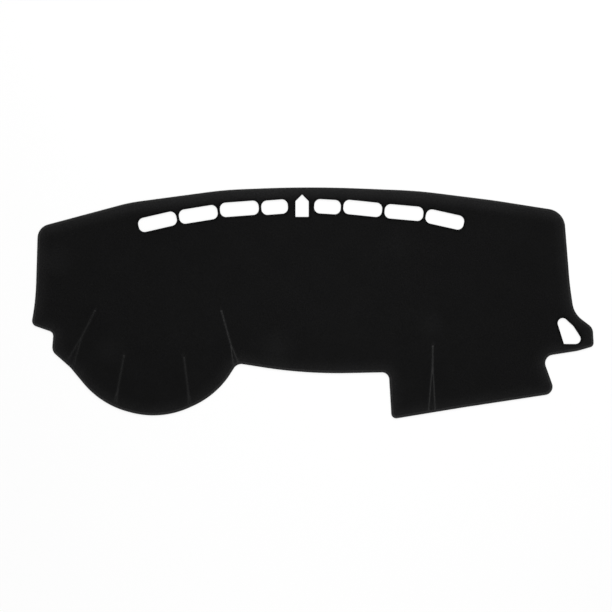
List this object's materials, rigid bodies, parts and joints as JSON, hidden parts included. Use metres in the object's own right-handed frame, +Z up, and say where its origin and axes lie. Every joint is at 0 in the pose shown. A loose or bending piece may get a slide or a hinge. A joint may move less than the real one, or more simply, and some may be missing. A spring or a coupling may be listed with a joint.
{
  "type": "dashboard cover mat",
  "caption": "Velour felt mat cut to the plan of a car dashboard, with an overlocked hem, slots over the demister vents, a sensor hole and sewn darts that shape its hood.",
  "frame": {"origin": "middle of the mat's bounding box, on the surface that the mat lies on", "axes": "+X along the dashboard to the glovebox side, +Y to the windscreen, +Z up out of the pile"},
  "size_m": [1.4, 0.5758, 0.017],
  "materials": {
    "velour": "matte charcoal-black velour pile",
    "thread": "charcoal polyester thread with a slight sheen"
  },
  "bodies": {
    "root": {"mat_sheet": "velour", "edge_overlock": "thread", "hood_dart_seam_1": "thread", "hood_dart_seam_2": "thread", "hood_dart_seam_3": "thread", "hood_dart_seam_4": "thread", "glovebox_dart_seam": "thread"}
  },
  "joints": []
}
